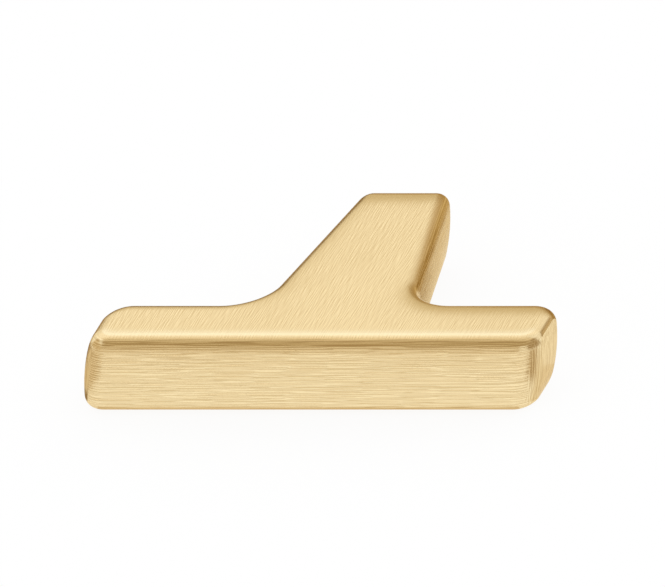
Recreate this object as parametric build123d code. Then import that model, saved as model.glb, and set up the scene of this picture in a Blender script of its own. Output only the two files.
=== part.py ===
"""A T-shaped cabinet knob, cast in one piece: a short bar to pull on and a tapered stem that meets the door.

The bar runs along X, the stem runs along +Y to the door, and Z is up. The origin is the centre of the
stem's end face, on the axis of the screw hole. All sizes are in millimetres, and plan sizes are at
mid-height, where the knob is widest.
"""
import math
import os

from build123d import *

# Overall sizes
BAR_LENGTH = 50.8
BAR_DEPTH = 9.0
PROJECTION = 31.75
THICKNESS = 9.0

# Stem widths where its straight sides would meet the bar and the door
STEM_ROOT_WIDTH = 17.5
STEM_END_WIDTH = 10.4

# Hollow corner between the stem and the bar
STEM_ROOT_RADIUS = 4.7

# Swell of the side walls from their top and bottom edges out to mid-height
WALL_CROWN = 0.45

# Rounds along the top and bottom edges, and along the edges of the stem's end
EDGE_ROUND = 1.8
STEM_END_ROUND = 1.5

# Corners of the flat top and bottom faces, inside their rounded edges
FRONT_FLAT_CORNER = 0.6
BACK_FLAT_CORNER = 1.1

# Convex grind across each end of the bar: its swell, the round along its edges, the metal that it takes
# off at mid-height, and how far its profile stands clear of the flat faces
END_CROWN = 0.6
END_EDGE_ROUND = 0.45
END_STOCK = 0.15
GRIND_CLEARANCE = 0.05

# Blind screw hole in the stem's end for a 4 mm screw, with its wall at the root of the thread
SCREW_HOLE_RADIUS = 2.0
SCREW_HOLE_DEPTH = 14.0
DRILL_POINT_ANGLE = 118.0
HOLE_MOUTH_CHAMFER = 0.4

# Reach of a solid past the faces that trim it, or that it trims
CUT_MARGIN = 2.0


def wall_foot() -> Wire:
    """The line that the walls swell out from: down one side of the stem, round the bar and back up.

    It starts and ends past the door.
    """
    half_bar = BAR_LENGTH / 2 + END_STOCK - WALL_CROWN
    bar_front = -PROJECTION + WALL_CROWN
    bar_back = -PROJECTION + BAR_DEPTH - WALL_CROWN
    taper = (STEM_ROOT_WIDTH - STEM_END_WIDTH) / 2 / (PROJECTION - BAR_DEPTH)
    half_stem_end = STEM_END_WIDTH / 2 - WALL_CROWN * math.hypot(1, taper)
    right_side = [
        (half_bar, bar_front),
        (half_bar, bar_back),
        (half_stem_end - taper * bar_back, bar_back),
        (half_stem_end - taper * CUT_MARGIN, CUT_MARGIN),
    ]
    right_radii = [
        FRONT_FLAT_CORNER + EDGE_ROUND,
        BACK_FLAT_CORNER + EDGE_ROUND,
        STEM_ROOT_RADIUS + WALL_CROWN,
    ]
    left_side = [(-x, y) for x, y in reversed(right_side)]
    left_radii = right_radii[::-1]
    with BuildLine() as line:
        FilletPolyline(*left_side, *right_side, radius=left_radii + right_radii)
    return line.wire()


def upright_core(foot: Wire) -> Part:
    """The T inside the walls' foot line, at full thickness and with upright walls."""
    with BuildPart() as core:
        with BuildSketch():
            with BuildLine():
                add(foot)
                Line(foot @ 1, foot @ 0)
            make_face()
        extrude(amount=THICKNESS / 2, both=True)
    return core.part


def wall_swell(foot: Wire) -> Part:
    """The swell of the walls: a thin segment of a circle, run along each stretch of the foot line."""
    half = THICKNESS / 2
    with BuildPart() as swell:
        for stretch in foot.edges():
            along = stretch % 0
            outward = along.cross(Vector(0, 0, 1))
            with BuildSketch(Plane(origin=stretch @ 0, x_dir=outward, z_dir=along)):
                with BuildLine():
                    ThreePointArc((0, half), (WALL_CROWN, 0), (0, -half))
                    Line((0, -half), (0, half))
                make_face()
            sweep(path=stretch)
    return swell.part


def crowned_blank() -> Part:
    """The T with crowned walls, a flat stem end and round edges, before its ends are ground."""
    foot = wall_foot()
    blank = upright_core(foot) + wall_swell(foot)
    flat_edges = blank.faces().filter_by(Axis.Z).edges()
    past_door = flat_edges.group_by(Axis.Y)[-1]
    blank = fillet(flat_edges - past_door, EDGE_ROUND)
    from_door = (Align.CENTER, Align.MIN, Align.CENTER)
    blank -= Box(STEM_ROOT_WIDTH, 2 * CUT_MARGIN, 2 * THICKNESS, align=from_door)
    stem_end = blank.faces().sort_by(Axis.Y)[-1]
    return fillet(stem_end.edges(), STEM_END_ROUND)


def end_grind() -> Part:
    """The space inside the convex grind: the bar's front view, run through the whole depth of the knob."""
    half = THICKNESS / 2 + GRIND_CLEARANCE
    crest = BAR_LENGTH / 2
    foot = crest - END_CROWN
    with BuildPart() as space:
        with BuildSketch(Plane.XZ) as front_view:
            with BuildLine():
                Line((-foot, half), (foot, half))
                ThreePointArc((foot, half), (crest, 0), (foot, -half))
                Line((foot, -half), (-foot, -half))
                ThreePointArc((-foot, -half), (-crest, 0), (-foot, half))
            make_face()
            fillet(front_view.vertices(), END_EDGE_ROUND)
        extrude(amount=PROJECTION + CUT_MARGIN, both=True)
    return space.part


def screw_hole() -> Part:
    """The drilled and tapped hole as a solid on the Y axis, from a chamfered mouth to the drill's point."""
    point_depth = SCREW_HOLE_RADIUS / math.tan(math.radians(DRILL_POINT_ANGLE / 2))
    mouth_radius = SCREW_HOLE_RADIUS + HOLE_MOUTH_CHAMFER
    with BuildPart() as hole:
        with BuildSketch():
            with BuildLine():
                Polyline(
                    (0, 0),
                    (mouth_radius, 0),
                    (SCREW_HOLE_RADIUS, -HOLE_MOUTH_CHAMFER),
                    (SCREW_HOLE_RADIUS, -SCREW_HOLE_DEPTH),
                    (0, -SCREW_HOLE_DEPTH - point_depth),
                    close=True,
                )
            make_face()
        revolve(axis=Axis.Y)
    return hole.part


def knob_body() -> Part:
    """The finished knob: the blank, ground to its crowned ends, with its screw hole."""
    return (crowned_blank() & end_grind()) - screw_hole()


os.makedirs("parts", exist_ok=True)
export_step(knob_body(), "parts/knob_body.step")
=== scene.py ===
"""Dresses the T-shaped cabinet knob in brushed brass and sets it in a pale studio.

The knob lies as its CAD model does, in metres: the bar along X, the stem along +Y to the door, and
Z up.
"""
import logging
import math
from collections.abc import Mapping, Sequence
from dataclasses import dataclass, field
from enum import Enum
from typing import ClassVar, Union

import bpy
from mathutils import Matrix, Vector

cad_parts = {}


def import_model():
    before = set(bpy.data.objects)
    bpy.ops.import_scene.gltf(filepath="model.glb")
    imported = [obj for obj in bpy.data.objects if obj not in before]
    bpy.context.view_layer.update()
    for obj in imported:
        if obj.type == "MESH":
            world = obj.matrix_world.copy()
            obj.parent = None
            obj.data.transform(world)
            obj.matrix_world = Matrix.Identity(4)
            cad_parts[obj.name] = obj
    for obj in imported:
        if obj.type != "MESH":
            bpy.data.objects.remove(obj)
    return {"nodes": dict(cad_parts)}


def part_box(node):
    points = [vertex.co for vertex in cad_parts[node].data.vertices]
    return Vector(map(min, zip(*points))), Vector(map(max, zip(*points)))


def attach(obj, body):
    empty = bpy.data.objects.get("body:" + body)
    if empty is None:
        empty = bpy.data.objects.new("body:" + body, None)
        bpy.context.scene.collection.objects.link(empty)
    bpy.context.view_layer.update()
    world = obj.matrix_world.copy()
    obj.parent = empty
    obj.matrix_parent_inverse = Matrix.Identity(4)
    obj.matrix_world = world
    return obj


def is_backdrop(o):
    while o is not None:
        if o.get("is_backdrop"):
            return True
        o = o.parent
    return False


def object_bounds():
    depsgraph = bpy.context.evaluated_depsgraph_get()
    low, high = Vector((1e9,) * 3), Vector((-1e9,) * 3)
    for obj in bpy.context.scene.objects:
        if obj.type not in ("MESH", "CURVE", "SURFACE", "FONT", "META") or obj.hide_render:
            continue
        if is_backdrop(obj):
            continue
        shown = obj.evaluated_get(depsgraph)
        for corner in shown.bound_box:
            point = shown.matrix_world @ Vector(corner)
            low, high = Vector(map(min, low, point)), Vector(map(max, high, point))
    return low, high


LOG = logging.getLogger("cabinet_knob")
KNOB_NODE = "knob_body"
BODY = "root"

MM = 0.001
WHITE = (1.0, 1.0, 1.0)
# The middle of a pattern, which runs from 0 to 1
MIDDLE = 0.5
# Z of the cards that lie on the floor, a little above it
FLOOR_CARD_Z = -0.0043

Colour = tuple[float, float, float]
Triple = tuple[float, float, float]
Edge = tuple[Triple, Triple]
Span = tuple[float, float]
Key = Union[str, int]
Input = Union["Reading", float, Sequence[float]]


class Reading:
    """A node's output. Arithmetic on it adds Math nodes to its graph."""

    def __init__(self, graph: "Graph", socket: bpy.types.NodeSocket) -> None:
        """Wraps a socket.

        Args:
            graph: The graph that the socket is in.
            socket: The output socket.
        """
        self.graph = graph
        self.socket = socket

    def beside(self, key: Key) -> "Reading":
        """Another output of the same node, by its name or number."""
        return Reading(self.graph, self.socket.node.outputs[key])

    def _math(self, operation: str, first: Input, second: Input) -> "Reading":
        """Adds one Math node.

        Args:
            operation: The Math node's operation.
            first: Its first value.
            second: Its second value.

        Returns:
            The node's result.
        """
        return self.graph.node("ShaderNodeMath", {"operation": operation}, {0: first, 1: second})

    def __add__(self, other: Input) -> "Reading":
        """self + other"""
        return self._math("ADD", self, other)

    def __radd__(self, other: Input) -> "Reading":
        """other + self"""
        return self._math("ADD", other, self)

    def __sub__(self, other: Input) -> "Reading":
        """self - other"""
        return self._math("SUBTRACT", self, other)

    def __rsub__(self, other: Input) -> "Reading":
        """other - self"""
        return self._math("SUBTRACT", other, self)

    def __mul__(self, other: Input) -> "Reading":
        """self * other"""
        return self._math("MULTIPLY", self, other)

    def __rmul__(self, other: Input) -> "Reading":
        """other * self"""
        return self._math("MULTIPLY", other, self)

    def __pow__(self, other: Input) -> "Reading":
        """self ** other"""
        return self._math("POWER", self, other)

    def __rpow__(self, other: Input) -> "Reading":
        """other ** self"""
        return self._math("POWER", other, self)

    def __or__(self, other: Input) -> "Reading":
        """The larger of the two."""
        return self._math("MAXIMUM", self, other)

    def __ror__(self, other: Input) -> "Reading":
        """The larger of the two."""
        return self._math("MAXIMUM", other, self)

    def __abs__(self) -> "Reading":
        """The size of the value without its sign."""
        return self._math("ABSOLUTE", self, 0.0)


class Spread(Enum):
    """What a pattern runs over: the noise's dimensions, and the socket that takes the place."""

    SPACE = ("3D", "Vector")
    LINE = ("1D", "W")


@dataclass(frozen=True)
class Grain:
    """A cloudy pattern: its counts per unit of place, and how its finer octaves follow."""

    per_unit: float = 1.0
    octaves: float = 0.0
    octave_share: float = 0.5
    spread: Spread = Spread.SPACE


class Graph:
    """A material's or world's node tree, emptied and ready for nodes."""

    # The sockets of a Mix node that serve colours
    MIX_SHARE: ClassVar[int] = 0
    MIX_FIRST: ClassVar[int] = 6
    MIX_SECOND: ClassVar[int] = 7
    MIX_RESULT: ClassVar[int] = 2

    def __init__(self, owner: Union[bpy.types.Material, bpy.types.World]) -> None:
        """Clears the owner's node tree.

        Args:
            owner: The material or world to make nodes for.
        """
        owner.use_nodes = True
        self.owner = owner
        self.tree = owner.node_tree
        self.tree.nodes.clear()

    def node(
        self,
        kind: str,
        settings: Mapping[str, object] | None = None,
        inputs: Mapping[Key, Input] | None = None,
        output: Key = 0,
    ) -> Reading:
        """Adds a node.

        Args:
            kind: The node's type.
            settings: Its own settings, which are set first.
            inputs: Values or links, by socket name or number.
            output: The output that is wanted.

        Returns:
            That output, or the node's first input where it has no outputs.
        """
        made = self.tree.nodes.new(kind)
        for name, value in (settings or {}).items():
            setattr(made, name, value)
        for key, value in (inputs or {}).items():
            if isinstance(value, Reading):
                self.tree.links.new(value.socket, made.inputs[key])
            else:
                made.inputs[key].default_value = value
        return Reading(self, made.outputs[output] if made.outputs else made.inputs[0])

    def smooth(self, value: Input, span: Span) -> Reading:
        """A soft step from 0 to 1.

        Args:
            value: What is stepped.
            span: Where the step starts and where it ends.

        Returns:
            The step.
        """
        low, high = span
        settings = {"interpolation_type": "SMOOTHSTEP"}
        inputs = {"Value": value, "From Min": low, "From Max": high}
        return self.node("ShaderNodeMapRange", settings, inputs)

    def band(self, value: Reading, rise: Span, fall: Span) -> Reading:
        """A soft step up to 1 over the rise, and back to 0 over the fall."""
        return self.smooth(value, rise) * (1 - self.smooth(value, fall))

    @staticmethod
    def solid(colour: Input) -> Input:
        """A written colour with its alpha, or a link as it is."""
        return colour if isinstance(colour, Reading) else (*colour, 1.0)

    def mix(self, share: Input, first: Input, second: Input) -> Reading:
        """Mixes two colours.

        Args:
            share: How much of the second is in the mix.
            first: The colour at share 0.
            second: The colour at share 1.

        Returns:
            The mixed colour.
        """
        inputs = {
            self.MIX_SHARE: share,
            self.MIX_FIRST: self.solid(first),
            self.MIX_SECOND: self.solid(second),
        }
        return self.node("ShaderNodeMix", {"data_type": "RGBA"}, inputs, self.MIX_RESULT)

    def parts(self, vector: Reading) -> tuple[Reading, Reading, Reading]:
        """A vector's X, Y and Z."""
        x = self.node("ShaderNodeSeparateXYZ", None, {0: vector})
        return x, x.beside(1), x.beside(2)

    def place(self) -> Reading:
        """The place on the piece, in metres."""
        return self.node("ShaderNodeTexCoord", None, None, "Object")

    def in_mm(self, place: Reading) -> Reading:
        """A place in millimetres, from metres."""
        inputs = {0: place, "Scale": 1 / MM}
        return self.node("ShaderNodeVectorMath", {"operation": "SCALE"}, inputs)

    def softened(self, reach: float, samples: int) -> tuple[Reading, Reading, Reading]:
        """The surface's normal, evened out over the edges within reach.

        Args:
            reach: How far off an edge counts, in metres.
            samples: How many places round about are looked at.

        Returns:
            The normal's X, Y and Z.
        """
        settings = {"samples": samples}
        return self.parts(self.node("ShaderNodeBevel", settings, {"Radius": reach}))

    def noise(self, grain: Grain, place: Reading) -> Reading:
        """A cloudy pattern.

        Args:
            grain: What the pattern is like.
            place: The place that it is read at.

        Returns:
            The pattern, from 0 to 1.
        """
        dimensions, socket = grain.spread.value
        inputs = {
            socket: place,
            "Scale": grain.per_unit,
            "Detail": grain.octaves,
            "Roughness": grain.octave_share,
        }
        settings = {"normalize": True, "noise_dimensions": dimensions}
        return self.node("ShaderNodeTexNoise", settings, inputs)

    def glow(self, colour: Colour) -> Reading:
        """A shader that shows a colour as it is written."""
        inputs = {"Color": self.solid(colour), "Strength": 1.0}
        return self.node("ShaderNodeEmission", None, inputs)

    def surface(self, shader: Reading) -> None:
        """Gives the material its shader."""
        self.node("ShaderNodeOutputMaterial", None, {"Surface": shader})

    def metal(
        self,
        colour: Reading,
        roughness: Reading,
        relief: Reading,
        depth: float,
        grazing_tint: Colour = WHITE,
    ) -> None:
        """Makes the material a metal with a fine relief.

        Args:
            colour: The metal's colour.
            roughness: How rough it is.
            relief: The relief, from 0 to 1.
            depth: The relief's depth, in metres.
            grazing_tint: The tint of what it mirrors at a flat angle.
        """
        heights = {"Strength": 1.0, "Distance": depth, "Height": relief}
        inputs = {
            "Base Color": colour,
            "Metallic": 1.0,
            "Roughness": roughness,
            "Specular Tint": self.solid(grazing_tint),
            "Normal": self.node("ShaderNodeBump", None, heights),
        }
        self.surface(self.node("ShaderNodeBsdfPrincipled", None, inputs))


@dataclass(frozen=True)
class Spot:
    """A spot on the knob: its place, and how far the surface there faces along each axis."""

    place_mm: Reading
    x: Reading
    y: Reading
    z: Reading
    facing_x: Reading
    facing_y: Reading
    facing_z: Reading

    @classmethod
    def read(cls, graph: Graph) -> "Spot":
        """Reads the spot that is shaded.

        Args:
            graph: The material's graph.

        Returns:
            The spot, with X, Y and Z in metres.
        """
        place = graph.place()
        normal = graph.node("ShaderNodeNewGeometry", None, None, "Normal")
        facing = (abs(part) for part in graph.parts(normal))
        return cls(graph.in_mm(place), *graph.parts(place), *facing)


class Brushing(Enum):
    """The ways in which the brush ran.

    Each has its lines' counts per millimetre along X, Y and Z, and their contrast.
    """

    FLATS = ((7.6, 0.45, 0.2), 0.74)
    WALLS = ((0.24, 0.24, 9.0), 6.5)
    ENDS = ((7.0, 7.0, 0.2), 1.0)

    def __init__(self, counts: Triple, contrast: float) -> None:
        """Names the two.

        Args:
            counts: The counts per millimetre.
            contrast: The contrast.
        """
        self.counts = counts
        self.contrast = contrast

    @property
    def half_cell(self) -> Triple:
        """Half a cell of the pattern across the lines, where their counts are high."""
        return tuple(0.5 if count > 1 else 0.0 for count in self.counts)


@dataclass(frozen=True)
class BrushedBrass:
    """Pale satin brass with fine brush lines, a little patina, burnished edges, and painted
    highlight and shade on its flats.

    A span gives where something starts and where it is full. The spans named for a flat, an end,
    a face or an edge are in how far the surface faces along an axis, and those named for a lean
    are in how far its softened normal leans over.
    """

    colour: Colour = (0.975, 0.797, 0.474)
    deep_colour: Colour = (0.730, 0.552, 0.290)
    tone_span: Span = (0.3, 0.7)
    grazing_tint: Colour = (0.94, 0.855, 0.69)
    roughness: float = 0.30
    roughness_swing: float = 0.14
    patina: Grain = Grain(0.09, 2.0)
    patina_share: float = 0.15

    # The edges that hands burnish
    edge_burnish: float = 0.09
    burnished_edge_rise: Span = (0.25, 0.6)
    burnished_edge_fall: Span = (0.8, 0.985)

    # The rims of the flats: a painted highlight along the front, painted shade along the back
    painted_highlight_colour: Colour = (0.960, 0.830, 0.550)
    rim_width: float = 1.6 * MM
    rim_samples: int = 6
    painted_highlight_share: float = 0.75
    front_lean: Span = (0.004, 0.026)
    front_flat: Span = (0.95, 0.99)
    back_lean: Span = (0.02, 0.15)

    # The wide painted shade on the flats
    shade_colour: Colour = (0.60, 0.43, 0.19)
    shade_width: float = 5.0 * MM
    shade_samples: int = 12
    shade_share: float = 6.5
    shade_start: float = 0.018
    side_shade: float = -0.15
    shade_along_bar: Span = (-12 * MM, 0.0)

    # The brush lines, and the edges where they are worn away
    line_grain: Grain = Grain()
    line_depth: float = 2.6e-6
    flat: Span = (0.70, 0.92)
    bar_end: Span = (0.35, 0.70)
    bar_end_fade: float = 1.0 * MM
    edge_wear: float = 0.75
    worn_edge_rise: Span = (0.45, 0.70)
    worn_edge_fall: Span = (0.93, 0.995)

    # The rings that facing leaves on the stem's end
    rings: Grain = Grain(3.2, 2.0, 0.6, Spread.LINE)
    ring_face: Span = (0.9, 0.98)
    ring_depth: Span = (0.3 * MM, 0.1 * MM)

    def material(self, name: str, bar_back: float, stem_end: float) -> bpy.types.Material:
        """Makes the material.

        Args:
            name: The material's name.
            bar_back: Y of the bar's back, in metres. The ends of the bar lie in front of it.
            stem_end: Y of the stem's end face, in metres.

        Returns:
            The material.
        """
        graph = Graph(bpy.data.materials.new(name))
        spot = Spot.read(graph)
        lines = self._lines(graph, spot, bar_back)
        lines = self._turned_end(graph, spot, lines, stem_end)
        edge = graph.band(spot.facing_z, self.burnished_edge_rise, self.burnished_edge_fall)
        rough = self.roughness + self.roughness_swing * (lines - MIDDLE)
        graph.metal(
            colour=self._colour(graph, spot, lines),
            roughness=rough - self.edge_burnish * edge,
            relief=lines,
            depth=self.line_depth,
            grazing_tint=self.grazing_tint,
        )
        return graph.owner

    def _colour(self, graph: Graph, spot: Spot, lines: Reading) -> Reading:
        """The brass's colour, with its lines, patina, painted rim highlight and painted shade.

        Args:
            graph: The material's graph.
            spot: The spot on the knob.
            lines: The lines there, from 0 to 1.

        Returns:
            The colour.
        """
        patina = graph.noise(self.patina, spot.place_mm)
        tone = lines + self.patina_share * (patina - MIDDLE)
        colour = graph.mix(graph.smooth(tone, self.tone_span), self.deep_colour, self.colour)
        # Painted highlight along the front rims, then painted shade at the back rims and towards
        # the back edges of the stem and right arm
        front_highlight, painted_back_shade = self._painted_rims(graph, spot)
        colour = graph.mix(self.painted_highlight_share * front_highlight, colour, self.painted_highlight_colour)
        shade = self._shade(graph, spot) | painted_back_shade
        return graph.mix(shade, colour, self.shade_colour)

    def _painted_rims(self, graph: Graph, spot: Spot) -> tuple[Reading, Reading]:
        """Painted highlight where the flats run into their front edge, and painted shade at their
        back one.

        Args:
            graph: The material's graph.
            spot: The spot on the knob.

        Returns:
            The painted highlight on the front rim and the painted shade on the back rim, from 0 to
            1.
        """
        _, lean, _ = graph.softened(self.rim_width, self.rim_samples)
        front = graph.smooth(-1 * lean, self.front_lean)
        front = front * graph.smooth(spot.facing_z, self.front_flat)
        back = graph.smooth(lean, self.back_lean) * graph.smooth(spot.facing_z, self.flat)
        return front, back

    def _shade(self, graph: Graph, spot: Spot) -> Reading:
        """Painted shade, where the flats of the stem and the right arm darken towards their back
        edges.

        Args:
            graph: The material's graph.
            spot: The spot on the knob.

        Returns:
            The painted shade. It is 0 away from those edges.
        """
        lean_x, lean_y, _ = graph.softened(self.shade_width, self.shade_samples)
        near = (self.side_shade * lean_x + lean_y - self.shade_start) | 0.0
        along_bar = graph.smooth(spot.x, self.shade_along_bar)
        on_flat = graph.smooth(spot.facing_z, self.flat) * along_bar
        return self.shade_share * near * on_flat

    def _lines(self, graph: Graph, spot: Spot, bar_back: float) -> Reading:
        """The brush lines of the flats, the walls and the bar's two ends, joined softly.

        Args:
            graph: The material's graph.
            spot: The spot on the knob.
            bar_back: Y of the bar's back, in metres.

        Returns:
            The lines, from 0 to 1.
        """
        flats, walls, ends = (self._brushed(graph, spot, way) for way in Brushing)
        on_flat = graph.smooth(spot.facing_z, self.flat)
        past_bar = graph.smooth(spot.y, (bar_back, bar_back + self.bar_end_fade))
        on_end = graph.smooth(spot.facing_x, self.bar_end) * (1 - past_bar)
        upright = walls + on_end * (ends - walls)
        lines = upright + on_flat * (flats - upright)
        on_edge = graph.band(spot.facing_z, self.worn_edge_rise, self.worn_edge_fall)
        return lines + (self.edge_wear * on_edge) * (MIDDLE - lines)

    def _brushed(self, graph: Graph, spot: Spot, way: Brushing) -> Reading:
        """Fine lines that run one way.

        They are the difference between a pattern and the same pattern half a cell further across.

        Args:
            graph: The material's graph.
            spot: The spot on the knob.
            way: Which way the brush ran.

        Returns:
            The lines, from 0 to 1.
        """
        settings = {"operation": "MULTIPLY_ADD"}
        here, further = (
            graph.noise(
                self.line_grain,
                graph.node(
                    "ShaderNodeVectorMath", settings, {0: spot.place_mm, 1: way.counts, 2: shift}
                ),
            )
            for shift in ((0.0, 0.0, 0.0), way.half_cell)
        )
        return MIDDLE + way.contrast * (further - here)

    def _turned_end(self, graph: Graph, spot: Spot, lines: Reading, stem_end: float) -> Reading:
        """Puts turned rings on the stem's end, in place of the brush lines there.

        Args:
            graph: The material's graph.
            spot: The spot on the knob.
            lines: The brush lines.
            stem_end: Y of the stem's end face, in metres.

        Returns:
            The lines with the rings in them.
        """
        radius_mm = ((spot.x * spot.x + spot.z * spot.z) ** 0.5) * (1 / MM)
        rings = graph.noise(self.rings, radius_mm)
        deep, shallow = self.ring_depth
        at_end = graph.smooth(spot.y, (stem_end - deep, stem_end - shallow))
        on_face = graph.smooth(spot.facing_y, self.ring_face) * at_end
        return lines + on_face * (rings - lines)


@dataclass(frozen=True)
class CutBrass:
    """Bright brass as a tap leaves it, with chatter along the cut."""

    colour: Colour = (0.90, 0.735, 0.43)
    stained_colour: Colour = (0.70, 0.52, 0.27)
    stain_span: Span = (0.35, 0.7)
    roughness: float = 0.24
    roughness_swing: float = 0.16
    chatter: Grain = Grain(5.0, 3.0, 0.6)
    chatter_depth: float = 2.0e-6

    def material(self, name: str) -> bpy.types.Material:
        """Makes the material.

        Args:
            name: The material's name.

        Returns:
            The material.
        """
        graph = Graph(bpy.data.materials.new(name))
        chatter = graph.noise(self.chatter, graph.in_mm(graph.place()))
        clean = graph.smooth(chatter, self.stain_span)
        graph.metal(
            colour=graph.mix(clean, self.stained_colour, self.colour),
            roughness=self.roughness + self.roughness_swing * (chatter - MIDDLE),
            relief=chatter,
            depth=self.chatter_depth,
        )
        return graph.owner


def put(name: str, data: bpy.types.ID | None) -> bpy.types.Object:
    """Adds an object to the scene.

    Args:
        name: The object's name.
        data: Its mesh, lamp or camera, or None for an empty.

    Returns:
        The object.
    """
    made = bpy.data.objects.new(name, data)
    bpy.context.scene.collection.objects.link(made)
    return made


def flat_sheet(name: str, corners: Sequence[Triple]) -> bpy.types.Object:
    """Adds a sheet of four corners to the scene.

    Args:
        name: The sheet's name.
        corners: The corners, in order round the sheet.

    Returns:
        The sheet.
    """
    mesh = bpy.data.meshes.new(name)
    mesh.from_pydata(corners, [], [(0, 1, 2, 3)])
    return put(name, mesh)


def level_edges(x: Span, y: Span, z: float) -> tuple[Edge, Edge]:
    """The edges of a level rectangle, in order round it.

    Args:
        x: Where it starts and ends along the bar.
        y: Where it starts and ends along the stem.
        z: Its height.

    Returns:
        Its front edge and its back edge.
    """
    (left, right), (front, back) = x, y
    return ((left, front, z), (right, front, z)), ((right, back, z), (left, back, z))


@dataclass
class KnobBody:
    """The cast knob itself, which keeps its CAD shape."""

    node: bpy.types.Object
    finish: BrushedBrass = field(default_factory=BrushedBrass)
    bar_depth: float = 9.0 * MM

    def dress(self) -> None:
        """Gives the CAD solid its brushed brass."""
        low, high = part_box(KNOB_NODE)
        material = self.finish.material("brushed_brass", low.y + self.bar_depth, high.y)
        self.node.data.materials.clear()
        self.node.data.materials.append(material)


@dataclass
class ScrewThread:
    """The thread in the stem's screw hole: a ridge that winds down the wall, right-handed.

    The ridge's section has four corners, and its widths are shares of the pitch.
    """

    root_radius: float = 2.0 * MM
    crest_radius: float = 1.62 * MM
    pitch: float = 0.7 * MM
    root_half_share: float = 7 / 16
    crest_half_share: float = 1 / 8
    first_turn: float = -0.75 * MM
    last_turn: float = -12.6 * MM
    bury: float = 0.02 * MM
    steps_per_turn: int = 48
    fade_turns: float = 0.6
    sharp_angle: float = math.radians(30)
    finish: CutBrass = field(default_factory=CutBrass)

    CORNERS: ClassVar[int] = 4

    def build(self) -> bpy.types.Object:
        """Makes the ridge as one closed mesh.

        Returns:
            The ridge, riding on the knob.
        """
        turns = (self.first_turn - self.last_turn) / self.pitch
        steps = round(turns * self.steps_per_turn)
        points: list[Triple] = []
        for step in range(steps + 1):
            points.extend(self._section(step / self.steps_per_turn, turns))
        mesh = bpy.data.meshes.new("screw_thread")
        mesh.from_pydata(points, [], self._faces(steps))
        mesh.polygons.foreach_set("use_smooth", [True] * len(mesh.polygons))
        mesh.set_sharp_from_angle(angle=self.sharp_angle)
        ridge = put("screw_thread", mesh)
        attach(ridge, BODY)
        return ridge

    def _section(self, turn: float, turns: float) -> list[Triple]:
        """The corners of the ridge's section at one turn.

        Args:
            turn: How many turns from the mouth.
            turns: How many turns there are.

        Returns:
            The corners, in metres.
        """
        angle = 2 * math.pi * turn
        along = self.first_turn - self.pitch * turn
        rise = max(0.0, min(1.0, turn / self.fade_turns, (turns - turn) / self.fade_turns))
        root = self.root_radius + self.bury
        crest = self.root_radius - (self.root_radius - self.crest_radius) * rise
        root_half = self.pitch * self.root_half_share
        crest_half = root_half - (root_half - self.pitch * self.crest_half_share) * rise
        corners = ((root, root_half), (crest, crest_half), (crest, -crest_half), (root, -root_half))
        return [
            (radius * math.cos(angle), along + offset, radius * math.sin(angle))
            for radius, offset in corners
        ]

    def _faces(self, steps: int) -> list[tuple[int, ...]]:
        """The ridge's faces: a cap, the sides of each step, and the other cap.

        Args:
            steps: How many steps there are from the first section to the last.

        Returns:
            The faces' points, by number.
        """
        first_cap = range(self.CORNERS)
        last_cap = range(self.CORNERS * steps, self.CORNERS * (steps + 1))
        faces = [tuple(reversed(first_cap))]
        for start in range(0, self.CORNERS * steps, self.CORNERS):
            after = start + self.CORNERS
            for side in range(self.CORNERS):
                turned = (side + 1) % self.CORNERS
                faces.append((start + side, start + turned, after + turned, after + side))
        return faces + [tuple(last_cap)]

    def dress(self, ridge: bpy.types.Object) -> None:
        """Gives the ridge its cut brass."""
        ridge.data.materials.append(self.finish.material("cut_brass"))


@dataclass(frozen=True)
class PaleFloor:
    """A plain white floor that keeps the knob's shadow and clears to white away from it."""

    colour: Colour = (0.97, 0.97, 0.97)
    half_width: float = 3.0
    shadow_reach: Span = (0.020, 0.060)
    least_white: float = 0.90

    def build(self, height: float, centre: Vector) -> None:
        """Lays the floor.

        Args:
            height: Z of the floor.
            centre: The middle of the knob.
        """
        width = (-self.half_width, self.half_width)
        front, back = level_edges(width, width, height)
        floor = flat_sheet("floor", front + back)
        floor.data.materials.append(self._material(centre))
        floor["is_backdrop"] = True

    def _material(self, centre: Vector) -> bpy.types.Material:
        """Makes the floor's material, which is white wherever metal or glass shows it.

        Args:
            centre: The middle of the knob.

        Returns:
            The material.
        """
        graph = Graph(bpy.data.materials.new("pale_floor"))
        place = graph.node("ShaderNodeNewGeometry", None, None, "Position")
        ends = {0: place, 1: tuple(centre)}
        away = graph.node("ShaderNodeVectorMath", {"operation": "DISTANCE"}, ends, "Value")
        fade = graph.smooth(away, self.shadow_reach)
        camera = graph.node("ShaderNodeLightPath", None, None, "Is Camera Ray")
        mirrored = camera.beside("Is Glossy Ray") | camera.beside("Is Transmission Ray")
        clear = (self.least_white + (1 - self.least_white) * fade) * camera | mirrored
        matt = {"Color": graph.solid(self.colour), "Roughness": 0.0}
        lit = graph.node("ShaderNodeBsdfDiffuse", None, matt)
        shaders = {0: clear, 1: lit, 2: graph.glow(WHITE)}
        graph.surface(graph.node("ShaderNodeMixShader", None, shaders))
        return graph.owner


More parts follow.
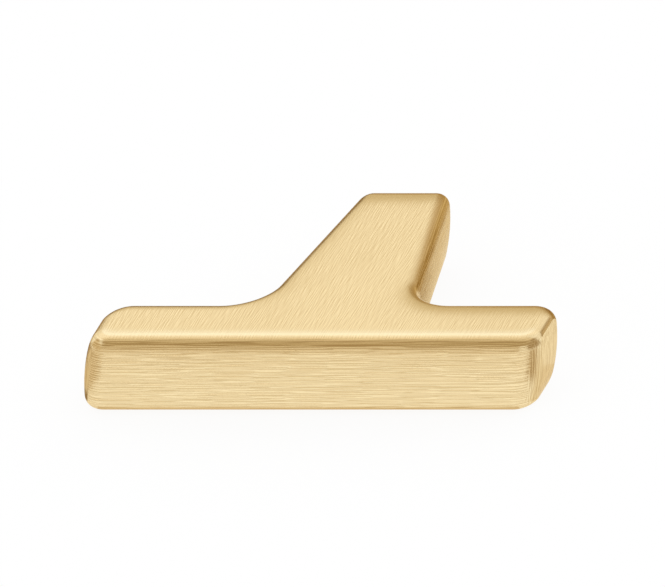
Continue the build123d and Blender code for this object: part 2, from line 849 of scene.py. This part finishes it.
@dataclass(frozen=True)
class Card:
    """A plain card that only shows in the metal, as a studio's flags do.

    Its corners go along one edge and back along the other.
    """

    name: str
    colour: Colour
    edge: Edge
    other_edge: Edge

    @classmethod
    def lying(cls, name: str, colour: Colour, x: Span, y: Span) -> "Card":
        """A rectangle that lies on the floor.

        Args:
            name: The card's name.
            colour: Its colour.
            x: Where it starts and ends along the bar, in metres.
            y: Where it starts and ends along the stem, in metres.

        Returns:
            The card.
        """
        return cls(name, colour, *level_edges(x, y, FLOOR_CARD_Z))

    @classmethod
    def standing(cls, name: str, colour: Colour, x: Span, y: float, z: Span) -> "Card":
        """A rectangle that stands along the bar.

        Args:
            name: The card's name.
            colour: Its colour.
            x: Where it starts and ends along the bar, in metres.
            y: Where it stands along the stem, in metres.
            z: Its foot and its top, in metres.

        Returns:
            The card.
        """
        (left, right), (foot, top) = x, z
        low_edge = ((left, y, foot), (right, y, foot))
        top_edge = ((right, y, top), (left, y, top))
        return cls(name, colour, low_edge, top_edge)

    def build(self) -> None:
        """Puts the card in the studio."""
        card = flat_sheet(self.name, self.edge + self.other_edge)
        graph = Graph(bpy.data.materials.new(self.name))
        graph.surface(graph.glow(self.colour))
        card.data.materials.append(graph.owner)
        card.visible_camera = False
        card.visible_diffuse = False
        card.visible_transmission = False
        card.visible_shadow = False
        card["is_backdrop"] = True


@dataclass(frozen=True)
class BackLamp:
    """A large soft lamp, high up behind the knob."""

    place: Triple = (-0.12, 0.258, 0.368)
    aim: Triple = (0.0, -0.016, 0.0)
    width: float = 0.80
    height: float = 0.30
    radiance: float = 0.16

    def build(self) -> None:
        """Hangs the lamp, turned to what it lights."""
        data = bpy.data.lights.new("back_lamp", "AREA")
        data.shape = "RECTANGLE"
        data.size = self.width
        data.size_y = self.height
        data.energy = self.radiance * math.pi * self.width * self.height
        lamp = put("back_lamp", data)
        lamp.location = self.place
        towards = Vector(self.aim) - Vector(self.place)
        lamp.rotation_euler = towards.to_track_quat("-Z", "Y").to_euler()
        lamp.visible_camera = False


@dataclass
class Studio:
    """The floor, the lamp, the cards and the white surround."""

    floor: PaleFloor = field(default_factory=PaleFloor)
    lamp: BackLamp = field(default_factory=BackLamp)
    cards: tuple[Card, ...] = (
        Card(
            "roof_back_card",
            (0.94, 0.87, 0.75),
            ((-0.34, -0.03, 0.44), (0.11, -0.03, 0.44)),
            ((0.12, 0.11, 0.47), (-0.34, 0.11, 0.47)),
        ),
        Card(
            "roof_front_card",
            (0.66, 0.57, 0.43),
            ((-0.34, -0.16, 0.42), (0.10, -0.16, 0.42)),
            ((0.11, -0.03, 0.44), (-0.34, -0.03, 0.44)),
        ),
        Card(
            "roof_right_card",
            (0.70, 0.61, 0.47),
            ((0.10, -0.16, 0.42), (0.30, -0.16, 0.42)),
            ((0.30, 0.06, 0.42), (0.11, 0.06, 0.46)),
        ),
        Card(
            "left_card",
            (0.68, 0.57, 0.41),
            ((-0.42, -0.44, -0.004), (-0.42, 0.08, -0.004)),
            ((-0.38, 0.08, 0.30), (-0.40, -0.40, 0.30)),
        ),
        Card(
            "high_front_card",
            (0.515, 0.415, 0.270),
            ((-0.40, -0.40, 0.285), (0.35, -0.40, 0.285)),
            ((0.30, -0.16, 0.42), (-0.34, -0.16, 0.42)),
        ),
        Card(
            "low_front_card",
            (0.72, 0.64, 0.52),
            ((-0.42, -0.44, 0.03), (0.04, -0.44, 0.03)),
            ((0.06, -0.40, 0.285), (-0.40, -0.40, 0.285)),
        ),
        Card.lying("front_floor_card", (0.86, 0.79, 0.685), (-0.42, 0.10), (-0.44, -0.058)),
        Card.standing("back_card", (0.25, 0.17, 0.09), (-0.24, 0.18), 0.30, (-0.0045, 0.05)),
        Card(
            "near_back_card",
            (0.60, 0.46, 0.25),
            ((-0.010, 0.022, FLOOR_CARD_Z), (0.018, 0.022, FLOOR_CARD_Z)),
            ((0.018, 0.022, 0.0117), (-0.010, 0.022, 0.011)),
        ),
        Card(
            "dark_back_card",
            (0.39, 0.26, 0.10),
            ((0.018, 0.022, FLOOR_CARD_Z), (0.075, 0.022, FLOOR_CARD_Z)),
            ((0.075, 0.022, 0.013), (0.018, 0.022, 0.0117)),
        ),
        Card(
            "soft_back_card",
            (0.66, 0.54, 0.38),
            ((0.000, 0.022, 0.011), (0.075, 0.022, 0.013)),
            ((0.075, 0.022, 0.022), (0.004, 0.022, 0.021)),
        ),
        Card(
            "right_floor_card",
            (0.56, 0.45, 0.31),
            ((0.030, -0.040, FLOOR_CARD_Z), (0.070, -0.060, FLOOR_CARD_Z)),
            ((0.070, -0.033, FLOOR_CARD_Z), (0.031, -0.031, FLOOR_CARD_Z)),
        ),
        Card.lying(
            "right_edge_floor_card", (0.86, 0.80, 0.70), (0.0252, 0.040), (-0.031, -0.0215)
        ),
        # Painted contact shadow: a dark strip by the left end that the metal mirrors in place of
        # the floor's shadow
        Card.lying(
            "left_end_floor_card", (0.34, 0.25, 0.14), (-0.0279, -0.0256), (-0.030, -0.023)
        ),
        Card(
            "left_floor_card",
            (0.72, 0.63, 0.50),
            ((-0.070, -0.060, FLOOR_CARD_Z), (-0.029, -0.045, FLOOR_CARD_Z)),
            ((-0.028, -0.024, FLOOR_CARD_Z), (-0.070, -0.023, FLOOR_CARD_Z)),
        ),
        Card.lying("far_left_floor_card", (0.34, 0.24, 0.13), (-0.070, -0.026), (-0.023, -0.009)),
        Card.lying("left_back_floor_card", (0.40, 0.30, 0.18), (-0.070, -0.008), (-0.009, 0.022)),
        Card.lying("far_back_floor_card", (0.40, 0.30, 0.18), (-0.240, 0.050), (0.022, 0.299)),
        Card.lying("stem_floor_card", (0.94, 0.88, 0.74), (0.0052, 0.0090), (-0.0225, 0.014)),
        Card.lying("right_near_floor_card", (0.44, 0.33, 0.19), (0.009, 0.030), (-0.013, 0.0)),
        Card.lying("right_back_floor_card", (0.54, 0.42, 0.26), (0.010, 0.045), (0.0, 0.022)),
        Card(
            "right_card",
            (0.46, 0.36, 0.24),
            ((0.38, -0.40, -0.004), (0.38, 0.06, -0.004)),
            ((0.30, 0.06, 0.42), (0.30, -0.40, 0.42)),
        ),
        Card.standing("right_back_card", (0.42, 0.32, 0.19), (0.06, 0.17), 0.10, (0.015, 0.085)),
        Card(
            "pale_back_card",
            (1.0, 0.99, 0.98),
            ((-0.45, 0.33, 0.10), (0.10, 0.33, 0.10)),
            ((0.10, 0.30, 0.21), (-0.45, 0.30, 0.21)),
        ),
        Card.standing(
            "near_right_card", (1.0, 0.985, 0.965), (-0.018, 0.060), 0.056, (0.026, 0.080)
        ),
        # Painted contact shadow: a dark sheet under the knob's edges that the metal mirrors in
        # place of the floor's shadow
        Card.lying("under_card", (0.78, 0.69, 0.57), (-0.0235, 0.0235), (-0.0314, -0.023)),
    )

    def build(self, low: Vector, high: Vector) -> None:
        """Sets up the studio round the knob.

        Args:
            low: The knob's lowest corner.
            high: Its highest corner.
        """
        self.floor.build(low.z, (low + high) / 2)
        self.lamp.build()
        for card in self.cards:
            card.build()
        self._surround()

    @staticmethod
    def _surround() -> None:
        """Makes the world, which is white all round and a plain fill light."""
        world = bpy.data.worlds.new("white_surround")
        bpy.context.scene.world = world
        graph = Graph(world)
        inputs = {"Color": graph.solid(WHITE), "Strength": 1.0}
        glow = graph.node("ShaderNodeBackground", None, inputs)
        graph.node("ShaderNodeOutputWorld", None, {"Surface": glow})


@dataclass(frozen=True)
class PhotoView:
    """The photograph's oblique view: the bar's edges are level, and depth runs up to the right.

    The picture's millimetres to the right and up are given for a millimetre of depth and of
    height. The anchor is the pixel of a point halfway along the bar, on top of its front edge.
    """

    width_px: int = 665
    height_px: int = 587
    px_per_mm: float = 9.0087
    depth_right: float = 0.3404
    depth_up: float = 0.5408
    height_right: float = 0.0697
    height_up: float = 0.9166
    anchor_px: tuple[float, float] = (311.66, 340.48)
    anchor_inset: float = 0.42 * MM
    distance: float = 0.5
    clip: Span = (0.01, 10.0)

    def build(self, low: Vector, high: Vector) -> None:
        """Makes the camera on its sheared stand and gives it to the scene.

        Args:
            low: The knob's lowest corner.
            high: Its highest corner.
        """
        data = bpy.data.cameras.new("photo_camera")
        data.type = "ORTHO"
        data.ortho_scale = self.width_px / self.px_per_mm * MM
        data.clip_start, data.clip_end = self.clip
        camera = put("photo_camera", data)
        camera.parent = put("camera_stand", None)
        camera.matrix_parent_inverse = self._placement(low, high)
        bpy.context.scene.camera = camera

    def _placement(self, low: Vector, high: Vector) -> Matrix:
        """Where the camera stands: its right, up and backward directions, and its place.

        Args:
            low: The knob's lowest corner.
            high: Its highest corner.

        Returns:
            The placement, whose up direction leans so that the picture is oblique.
        """
        right = Vector((1.0, 0.0, 0.0))
        fall = self.depth_up / self.height_up
        back = Vector((self.depth_right - self.height_right * fall, -1.0, fall))
        plain_up = Vector((-self.height_right / self.height_up, 0.0, 1 / self.height_up))
        up = self._unit_along(plain_up, back)
        anchor = Vector((0.0, low.y + self.anchor_inset, high.z))
        across = (self.width_px / 2 - self.anchor_px[0]) / self.px_per_mm * MM
        above = (self.anchor_px[1] - self.height_px / 2) / self.px_per_mm * MM
        back = back.normalized()
        place = anchor + across * right + above * up + self.distance * back
        columns = Matrix((right, up, back)).transposed().to_4x4()
        return Matrix.Translation(place) @ columns

    @staticmethod
    def _unit_along(start: Vector, direction: Vector) -> Vector:
        """Moves a vector's tip along a direction until the vector is one unit long.

        Args:
            start: The vector at first.
            direction: The way that its tip moves.

        Returns:
            The further of the two such vectors.
        """
        a = direction.length_squared
        b = 2 * start.dot(direction)
        c = start.length_squared - 1
        return start + direction * ((-b + math.sqrt(b * b - 4 * a * c)) / (2 * a))


def main() -> None:
    """Builds the dressed knob and its studio."""
    logging.basicConfig(level=logging.INFO, format="%(name)s: %(message)s")
    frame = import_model()
    cad_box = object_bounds()
    low, high = cad_box
    bpy.context.scene.view_settings.view_transform = "Standard"
    PhotoView().build(low, high)
    LOG.info("camera placed")
    KnobBody(frame["nodes"][KNOB_NODE]).dress()
    LOG.info("%s dressed", KNOB_NODE)
    thread = ScrewThread()
    ridge = thread.build()
    thread.dress(ridge)
    LOG.info("%s built: %d faces", ridge.name, len(ridge.data.polygons))
    Studio().build(low, high)
    LOG.info("studio set")


if __name__ == "__main__":
    main()
